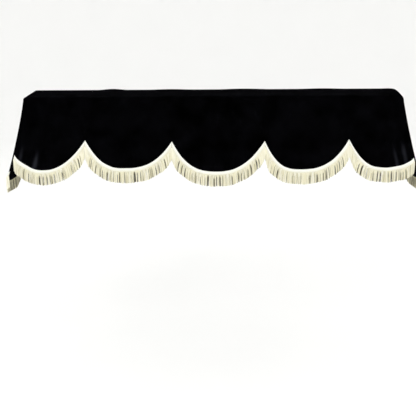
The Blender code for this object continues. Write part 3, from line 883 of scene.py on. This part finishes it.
def yarn_layer(wall, start, end, settings, layer, seed, number):
    """One layer of hanging yarns, as tubes of rings on a bending middle line.

    A yarn leaves the tape at a share of the band's slope and turns upright as exp(-length/fade),
    so it drifts by that lean's integral. Neighbours draw together in uneven clumps, a smooth
    wave along the band that grows towards the tips, and stand apart at the partings, where
    those left in the gap lie deeper and get painted shade. Back layers get painted shade too,
    as they hang behind the others, and it is lighter near the band's ends and just below the tape.
    """
    rng = np.random.default_rng([seed, number])
    across, length = band_places(wall, start, end, settings.yarn_spacing * layer["spacing"], layer["shift"])
    half = WALL_HALF_LENGTH[wall]
    margin = settings.yarn_diameter / 2 / half
    across = np.clip(across, start + end_trim(wall, start) + margin, end - end_trim(wall, end) - margin)
    count = len(across)
    depth = header_low_depth(wall, across) - YARN_START
    root = wall_point(wall, across, depth)
    level = unit(wall_normal(wall, across, depth) * np.array([1.0, 1.0, 0.0]))
    along = unit(np.cross(np.array([0.0, 0.0, 1.0]), level))
    part = np.linspace(0.0, 1.0, settings.yarn_rings)
    uneven = 0.5 * rng.standard_normal(count) + 0.5 * np.sin(length / UNEVEN_WAVE + seed)
    full = settings.yarn_length + YARN_START + settings.yarn_uneven * np.clip(uneven, -2.2, 1.6)
    run = part * full[:, None]

    from_end = np.minimum(across - start, end - across) * half
    room = np.clip(from_end / LEAN_ROOM, 0.0, 1.0)
    lean = -LEAN_SHARE * np.arctan(hem_slope(wall, across)) * room
    drift = lean[:, None] * LEAN_FADE * (1 - np.exp(-run / LEAN_FADE))
    phase = length / CLUMP_WAVE
    for size, wave, seeds in CLUMP_DRIFTS:
        phase = phase + size * np.sin(length / wave + seeds * seed)
    clump = layer["drawn"] * np.sin(phase) + YARN_SWAY * rng.standard_normal(count)
    gap, push = partings(length, part, room, settings, seed)
    drift = drift + clump[:, None] * part ** 0.8 + layer["pushed"] * push
    drift = drift + YARN_SWAY * np.sin(run / SWAY_WAVES[0] + rng.uniform(0, 6.28, count)[:, None]) * part
    limit = from_end[:, None] + END_OVERRUN
    drift = np.clip(drift, -limit, limit)
    outward = layer["stand"] + TIP_SPREAD * rng.standard_normal(count)[:, None] * part
    outward = outward + YARN_SWAY * np.sin(run / SWAY_WAVES[1] + rng.uniform(0, 6.28, count)[:, None]) * part
    outward = np.maximum(outward - layer["sunk"] * gap, YARN_CLEARANCE)

    middle = root[:, None] + drift[..., None] * along[:, None] + outward[..., None] * level[:, None]
    middle[..., 2] -= run * np.cos(lean)[:, None] ** 0.3
    points, turns = yarn_tubes(middle, level, part, settings)
    places = np.stack(np.broadcast_arrays(turns, run[..., None]), axis=-1)

    streak_drift = STREAK_DRIFT[0] * np.sin(length / STREAK_DRIFT[1])
    streak = np.sin(length / STREAK_WAVES[0] + 3 * seed) + np.sin(length / STREAK_WAVES[1] + streak_drift)
    # Painted shade: back layers and yarns in a parting are darker, less so near the band's ends and just
    # below the tape
    tone_and_layer_shade = layer["tone_and_shade"] + 0.05 * rng.standard_normal(count) + 0.12 * streak + 0.3 * (1.0 - room)
    shade = tone_and_layer_shade[:, None] - layer["parting_shade"] * gap
    shade = shade + (layer["tone_and_shade"] - shade + 0.05) * np.exp(-run / ROOT_FADE)
    return points, places, np.broadcast_to(np.clip(shade, 0.0, 1.0)[..., None], points.shape[:3])


def make_fringe(name, wall, start, end, settings, seed, finishes):
    """Tape and yarns of one scallop as one piece."""
    parts = [tape_band(wall, start, end)]
    for number, layer in enumerate(YARN_LAYERS):
        parts.append(yarn_layer(wall, start, end, settings, layer, seed, number))
    points, places, tones_and_shades, quads, index = [], [], [], [], []
    first = 0
    for number, (place, cut, tone_and_shade) in enumerate(parts):
        tubes, rings, sides = place.shape[:3]
        flat = place.reshape(-1, 3)
        faces = facing_out(flat, tube_quads(tubes, rings, sides))
        points.append(flat)
        places.append(cut.reshape(-1, 2))
        tones_and_shades.append(tone_and_shade.reshape(-1))
        quads.append(faces + first)
        index.append(np.full(len(faces), 0 if number == 0 else 1))
        first += len(flat)
    return make_piece(name, np.concatenate(points), np.concatenate(quads), np.concatenate(places), finishes,
                      np.concatenate(index), "tone_and_shade", np.concatenate(tones_and_shades))


def make_stage(settings):
    """Floor of revolution: flat as far as its reach, then a quarter turn up, then upright."""
    angle = np.linspace(0.0, 2 * math.pi, 97)
    bend = np.linspace(0.0, math.pi / 2, 13)
    edge = FLOOR_REACH + FLOOR_BEND
    radius = np.concatenate([[0.001, FLOOR_REACH / 2], FLOOR_REACH + FLOOR_BEND * np.sin(bend), [edge]])
    height = np.concatenate([[0.0, 0.0], FLOOR_BEND * (1 - np.cos(bend)), [edge]])
    points = np.stack([
        radius[:, None] * np.cos(angle),
        radius[:, None] * np.sin(angle),
        np.broadcast_to(height[:, None] + settings.floor_height, (len(radius), len(angle))),
    ], axis=-1)
    rows, columns = points.shape[:2]
    quads = grid_quads(rows, columns)[:, ::-1]
    places = points.reshape(-1, 3)[:, :2]
    floor = make_piece("studio_floor", points.reshape(-1, 3), quads, places, [stage_finish(settings)],
                       np.zeros(len(quads)))


def make_lights():
    """A large soft box above the front, a fill at the right, one behind and an even pale surround.

    Colours are shown without a film curve, so that whites stay white and the velvet stays black.
    """
    bpy.context.scene.view_settings.view_transform = "Standard"
    for name, place, size, power in LIGHTS:
        light = bpy.data.lights.new(name, "AREA")
        light.shape = "RECTANGLE"
        light.size, light.size_y = size
        light.energy = power
        item = bpy.data.objects.new(name, light)
        bpy.context.scene.collection.objects.link(item)
        away = Vector(place) - Vector(LIGHT_TARGET)
        item.location = place
        item.rotation_mode = "QUATERNION"
        item.rotation_quaternion = away.to_track_quat("Z", "Y")
    world = bpy.data.worlds.get("studio_surround") or bpy.data.worlds.new("studio_surround")
    world.use_nodes = True
    background = world.node_tree.nodes["Background"]
    background.inputs["Color"].default_value = (1.0, 1.0, 1.0, 1.0)
    background.inputs["Strength"].default_value = SURROUND_STRENGTH
    bpy.context.scene.world = world


def make_camera(settings):
    """Camera turned by yaw about +Z, then pitched down, then rolled about its line of sight."""
    pitch, roll, yaw = settings.camera_turn
    right = Vector((math.cos(yaw), -math.sin(yaw), 0.0))
    forward = Vector((math.sin(yaw) * math.cos(pitch), math.cos(yaw) * math.cos(pitch), -math.sin(pitch)))
    up = right.cross(forward)
    rolled_right = right * math.cos(roll) + up * math.sin(roll)
    rolled_up = up * math.cos(roll) - right * math.sin(roll)
    camera = bpy.data.cameras.new("photo_view")
    camera.sensor_width = 36.0
    camera.lens = settings.lens
    camera.clip_end = 50.0
    item = bpy.data.objects.new("photo_view", camera)
    turn = Matrix((rolled_right, rolled_up, -forward)).transposed()
    item.matrix_world = Matrix.Translation(settings.camera_place) @ turn.to_4x4()
    bpy.context.scene.collection.objects.link(item)
    bpy.context.scene.camera = item


def colour_setting(name, description, value):
    """A colour that the user can change, given as a hex value."""
    return FloatVectorProperty(name=name, description=description, default=hex_colour(value),
                               subtype="COLOR", min=0.0, max=1.0)


def length_setting(name, description, value, least=0.0):
    """A length in metres that the user can change."""
    return FloatProperty(name=name, description=description, default=value, min=least, unit="LENGTH")


class VelvetSettings(bpy.types.PropertyGroup):
    """Sizes and colours of the velvet cloth."""

    thickness: length_setting("Cloth thickness", "Thickness of the velvet with its pile", 0.002, 0.0005)
    column_step: length_setting("Column step", "Distance between points along a panel", 0.005, 0.002)
    row_step: length_setting("Row step", "Distance between points down a panel", 0.006, 0.002)
    roll_rows: IntProperty(name="Roll rows", description="Rows of faces over the top's edge", default=9,
                           min=3)
    pile_grain: length_setting("Pile grain", "Size of the tufts that show in the pile", 0.0012, 0.0003)
    sheen: FloatProperty(name="Sheen", description="How much light the side of the pile gives back",
                         default=0.016, min=0.0, max=1.0, subtype="FACTOR")
    pile_colour: colour_setting("Pile", "Colour of the pile seen end on", "#010101")
    # Painted sheen of pile brushed another way
    brushed_sheen_colour: colour_setting("Brushed pile", "Colour where the pile leans over", "#060608")
    # Painted highlight: colour of the grey streaks where the folds catch the light
    painted_highlight_colour: colour_setting("Laid pile", "Colour of streaks where the pile lies flat", "#212227")
    ground_colour: colour_setting("Woven back", "Colour of the cloth's inner face", "#0B0B0D")
    sheen_colour: colour_setting("Sheen colour", "Colour of the pile's sheen", "#9A9AA4")


class FringeSettings(bpy.types.PropertyGroup):
    """Sizes and colours of the fringe."""

    yarn_length: length_setting("Yarn length", "Length of the yarns below the tape", 0.043, 0.01)
    yarn_uneven: length_setting("Unevenness", "How much yarn lengths differ", 0.0020)
    yarn_diameter: length_setting("Yarn diameter", "Thickness of one twisted yarn", 0.0016, 0.0005)
    yarn_spacing: length_setting("Yarn spacing", "Distance between yarns of a layer", 0.0021, 0.0008)
    parting_pitch: length_setting("Parting pitch", "Mean distance between gaps in the yarns", 0.0085, 0.002)
    yarn_rings: IntProperty(name="Yarn rings", description="Rings of points along a yarn", default=9, min=3)
    yarn_sides: IntProperty(name="Yarn sides", description="Sides of a yarn, an even number", default=6,
                            min=4)
    tape_colour: colour_setting("Tape", "Colour of the header tape's upper edge", "#F5F5EB")
    tape_shade: colour_setting("Tape shade", "Colour of the tape's lower edge and gaps", "#E2DFC8")
    yarn_light: colour_setting("Light yarn", "Colour of the brightest yarns", "#FFFCE9")
    yarn_colour: colour_setting("Yarn", "Colour of most yarns", "#F2ECCA")
    # Painted shade of yarns behind others and in the partings
    yarn_shade: colour_setting("Yarn shade", "Colour of yarns deep in the fringe", "#2A2308")


class StageSettings(bpy.types.PropertyGroup):
    """Floor, lights and camera of the plain studio."""

    floor_height: FloatProperty(name="Floor height", description="Height of the floor below the cover's top",
                                default=-1.106, unit="LENGTH")
    floor_colour: colour_setting("Floor", "Colour of the floor and wall", "#FDFDFC")
    floor_shade: colour_setting("Floor shade", "Darker shade in the paint", "#FBFBFA")
    camera_place: FloatVectorProperty(name="Camera place", description="Where the camera stands",
                                      default=(-0.0085, -2.815, 0.423), subtype="TRANSLATION", unit="LENGTH")
    camera_turn: FloatVectorProperty(name="Camera turn", description="Pitch down, roll and yaw of the camera",
                                     default=tuple(math.radians(angle) for angle in (17.504, -0.375, -0.310)),
                                     subtype="EULER")
    lens: FloatProperty(name="Lens", description="Focal length on a 36 mm wide sensor", default=63.0,
                        min=10.0)


class TOPCOVER_OT_top(bpy.types.Operator):
    """Make the velvet panel that lies on top"""

    bl_idname = "topcover.top"
    bl_label = "Top Panel"

    def execute(self, context):
        settings = context.scene.topcover_velvet
        piece = make_top_cloth(settings, [velvet_pile(settings), velvet_ground(settings)])
        stand_in(piece, ["top_panel"])
        return {"FINISHED"}


class TOPCOVER_OT_fringes(bpy.types.Operator):
    """Make the fringe of each scallop of the front and of both ends"""

    bl_idname = "topcover.fringes"
    bl_label = "Fringes"

    def execute(self, context):
        settings = context.scene.topcover_fringe
        finishes = [tape_finish(settings), yarn_finish(settings)]
        points = hem_points("front")
        for number, (start, end) in enumerate(zip(points[:-1], points[1:]), start=1):
            name = f"front_yarn_fringe_{number}"
            piece = make_fringe(name, "front", start, end, settings, number, finishes)
            stand_in(piece, [f"front_fringe_{number}"])
        for number, wall in enumerate(("right", "left"), start=6):
            piece = make_fringe(f"{wall}_yarn_fringe", wall, -1.0, 1.0, settings, number, finishes)
            stand_in(piece, [f"{wall}_side_fringe"])
        return {"FINISHED"}


class TOPCOVER_OT_walls(bpy.types.Operator):
    """Make the four velvet panels that hang from the top"""

    bl_idname = "topcover.walls"
    bl_label = "Hanging Panels"

    def execute(self, context):
        settings = context.scene.topcover_velvet
        finishes = [velvet_pile(settings), velvet_ground(settings)]
        for wall, node in WALL_NODES.items():
            piece = make_wall_cloth(wall, settings, finishes)
            stand_in(piece, [node])
        return {"FINISHED"}


class TOPCOVER_OT_stage(bpy.types.Operator):
    """Make the floor, the soft lights and the camera"""

    bl_idname = "topcover.stage"
    bl_label = "Stage"

    def execute(self, context):
        settings = context.scene.topcover_stage
        make_stage(settings)
        make_lights()
        make_camera(settings)
        return {"FINISHED"}


class TOPCOVER_PT_sidebar(bpy.types.Panel):
    """Lists the pieces of the cover and their settings"""

    bl_idname = "TOPCOVER_PT_sidebar"
    bl_label = "Top Cover"
    bl_space_type = "VIEW_3D"
    bl_region_type = "UI"
    bl_category = "Top Cover"

    def draw(self, context):
        layout = self.layout
        scene = context.scene
        for settings, operators in (
            (scene.topcover_velvet, ("topcover.top", "topcover.walls")),
            (scene.topcover_fringe, ("topcover.fringes",)),
            (scene.topcover_stage, ("topcover.stage",)),
        ):
            box = layout.box()
            for name in settings.__annotations__:
                box.prop(settings, name)
            for operator in operators:
                box.operator(operator)


CLASSES = (
    VelvetSettings,
    FringeSettings,
    StageSettings,
    TOPCOVER_OT_top,
    TOPCOVER_OT_fringes,
    TOPCOVER_OT_walls,
    TOPCOVER_OT_stage,
    TOPCOVER_PT_sidebar,
)


def register():
    for item in CLASSES:
        bpy.utils.register_class(item)
    bpy.types.Scene.topcover_velvet = PointerProperty(type=VelvetSettings)
    bpy.types.Scene.topcover_fringe = PointerProperty(type=FringeSettings)
    bpy.types.Scene.topcover_stage = PointerProperty(type=StageSettings)


def unregister():
    del bpy.types.Scene.topcover_stage
    del bpy.types.Scene.topcover_fringe
    del bpy.types.Scene.topcover_velvet
    for item in reversed(CLASSES):
        bpy.utils.unregister_class(item)


def main():
    register()
    bpy.ops.topcover.top()
    bpy.ops.topcover.fringes()
    bpy.ops.topcover.walls()
    bpy.ops.topcover.stage()


if __name__ == "__main__":
    main()
